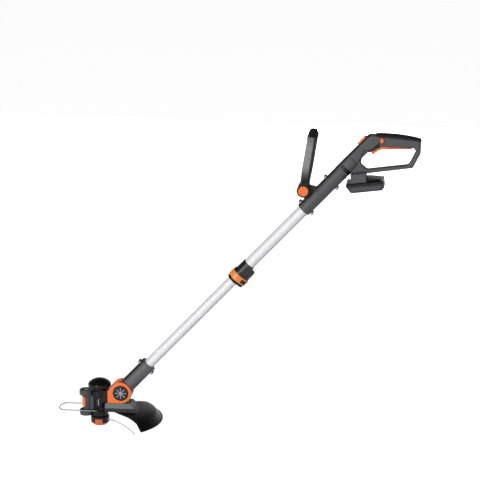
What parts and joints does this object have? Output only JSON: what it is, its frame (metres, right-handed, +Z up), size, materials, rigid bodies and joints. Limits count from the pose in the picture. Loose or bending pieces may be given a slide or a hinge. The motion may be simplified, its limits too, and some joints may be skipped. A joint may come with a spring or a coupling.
{
  "type": "string trimmer",
  "caption": "Battery string trimmer with a telescoping shaft, tilting motor head, spool and guard, a front loop handle and a rear grip with a trigger.",
  "frame": {"origin": "centre of the spool cap's flat underside, on the spool's axis", "axes": "+X from the head to the rear handle, +Y to the tool's left as it is carried, +Z up"},
  "size_m": [1.043, 0.2244, 0.8837],
  "materials": {
    "housing_grey": "fine grained charcoal moulding",
    "black_plastic": "satin black moulding",
    "orange_plastic": "semi-gloss orange moulding",
    "soft_rubber": "soft matt overmould",
    "dark_button": "satin dark grey",
    "shaft_aluminium": "silver satin",
    "steel": "bright steel",
    "cell_wrap": "plain shrink wrap",
    "board_green": "circuit board",
    "nylon_line": "translucent red nylon"
  },
  "bodies": {
    "rear_handle": {"rear_housing_near": "housing_grey", "rear_housing_far": "housing_grey", "grip_pad": "soft_rubber", "housing_band": "black_plastic", "housing_screws": "steel", "trigger_switch": "black_plastic", "control_board": "board_green", "terminal_block": "black_plastic", "trigger_pin": "steel", "trigger_bezel": "black_plastic", "upper_tube": "shaft_aluminium", "collar_body": "black_plastic", "collar_rim": "black_plastic", "collar_clamp": "black_plastic"},
    "trigger_lever": {"trigger": "orange_plastic"},
    "lock_off": {"lock_off_button": "orange_plastic"},
    "feed": {"feed_button": "orange_plastic"},
    "front_handle": {"aux_frame": "housing_grey", "aux_grip": "soft_rubber", "aux_pivot_bolt": "steel"},
    "front_handle_lock": {"aux_lock_button": "orange_plastic"},
    "battery": {"battery_case_lower": "black_plastic", "battery_case_upper": "black_plastic", "battery_cells": "cell_wrap", "battery_terminals": "steel"},
    "battery_release": {"battery_release_button": "orange_plastic"},
    "collar_lock_ring": {"collar_ring": "orange_plastic"},
    "collar_catch": {"collar_button": "dark_button"},
    "shaft_slider": {"guide_bush": "black_plastic"},
    "lower_shaft": {"lower_tube": "shaft_aluminium", "neck_shell_near": "housing_grey", "neck_shell_far": "housing_grey", "neck_screws": "steel"},
    "head": {"motor_housing": "black_plastic", "dome_cap": "black_plastic", "pivot_yoke": "orange_plastic", "pivot_pin": "steel", "tilt_bezel": "black_plastic", "motor_can": "steel", "lower_bearing": "steel", "upper_bearing": "steel", "guard": "black_plastic", "guard_saddle": "black_plastic", "guard_screws": "steel", "line_cutter": "steel", "wheel_column": "black_plastic", "column_clip": "orange_plastic", "wheel_axle": "steel"},
    "tilt_catch": {"tilt_button": "orange_plastic"},
    "spool": {"spindle": "steel", "motor_rotor": "steel", "spool_housing": "black_plastic", "spool_cap": "orange_plastic", "line_reel": "black_plastic", "reel_spring": "steel", "line_eyelet": "steel", "trimmer_line": "nylon_line"},
    "front_wheel_upper": {"wheel_upper": "black_plastic"},
    "front_wheel_lower": {"wheel_lower": "black_plastic"},
    "plant_guard": {"wire_guard": "steel"}
  },
  "joints": [
    {"name": "trigger_squeeze", "type": "hinge", "parent": "rear_handle", "child": "trigger_lever", "pos_m": [0.89597, 0, 0.84936], "axis": [0, 1, 0], "range_deg": [0, 3.5], "stiffness_Nm_per_rad": 2, "springref_deg": -2.86},
    {"name": "lock_off_push", "type": "slide", "parent": "rear_handle", "child": "lock_off", "axis": [0, 1, 0], "range_m": [0, 0.003], "stiffness_N_per_m": 300, "springref_m": -0.003},
    {"name": "feed_push", "type": "slide", "parent": "rear_handle", "child": "feed", "axis": [0.7254, 0, -0.6884], "range_m": [0, 0.003], "stiffness_N_per_m": 400, "springref_m": -0.003},
    {"name": "front_handle_tilt", "type": "hinge", "parent": "rear_handle", "child": "front_handle", "pos_m": [0.59488, 0, 0.71916], "axis": [0, 1, 0], "range_deg": [-65, 25]},
    {"name": "front_handle_lock_push", "type": "slide", "parent": "front_handle", "child": "front_handle_lock", "axis": [0, 1, 0], "range_m": [0, 0.0025], "stiffness_N_per_m": 400, "springref_m": -0.003},
    {"name": "battery_slide", "type": "slide", "parent": "rear_handle", "child": "battery", "axis": [0.9925, 0, 0.1219], "range_m": [0, 0.06]},
    {"name": "battery_release_push", "type": "slide", "parent": "battery", "child": "battery_release", "axis": [-0.9925, 0, -0.1219], "range_m": [0, 0.0025], "stiffness_N_per_m": 300, "springref_m": -0.003},
    {"name": "collar_ring_turn", "type": "hinge", "parent": "rear_handle", "child": "collar_lock_ring", "pos_m": [0.39916, 0, 0.45408], "axis": [0.6884, 0, 0.7254], "range_deg": [0, 40]},
    {"name": "collar_catch_push", "type": "slide", "parent": "rear_handle", "child": "collar_catch", "axis": [-0.5557, 0.6428, 0.5273], "range_m": [0, 0.002], "stiffness_N_per_m": 300, "springref_m": -0.003},
    {"name": "shaft_telescope", "type": "slide", "parent": "rear_handle", "child": "shaft_slider", "axis": [0.6884, 0, 0.7254], "range_m": [0, 0.2]},
    {"name": "shaft_twist", "type": "hinge", "parent": "shaft_slider", "child": "lower_shaft", "pos_m": [0.066, 0, 0.103], "axis": [0.6884, 0, 0.7254], "range_deg": [0, 180]},
    {"name": "head_tilt", "type": "hinge", "parent": "lower_shaft", "child": "head", "pos_m": [0.066, 0, 0.103], "axis": [0, 1, 0], "range_deg": [-30, 40]},
    {"name": "tilt_catch_push", "type": "slide", "parent": "head", "child": "tilt_catch", "axis": [0, 1, 0], "range_m": [0, 0.002], "stiffness_N_per_m": 300, "springref_m": -0.003},
    {"name": "spool_spin", "type": "hinge", "parent": "head", "child": "spool", "pos_m": [0, 0, 0], "axis": [0, 0, 1], "continuous": true},
    {"name": "upper_wheel_roll", "type": "hinge", "parent": "head", "child": "front_wheel_upper", "pos_m": [-0.04, 0, 0.0965], "axis": [0, 0, 1], "continuous": true},
    {"name": "lower_wheel_roll", "type": "hinge", "parent": "head", "child": "front_wheel_lower", "pos_m": [-0.04, 0, 0.036], "axis": [0, 0, 1], "continuous": true},
    {"name": "plant_guard_flip", "type": "hinge", "parent": "head", "child": "plant_guard", "pos_m": [-0.005, 0, 0.049], "axis": [0, 1, 0], "range_deg": [0, 70]}
  ]
}
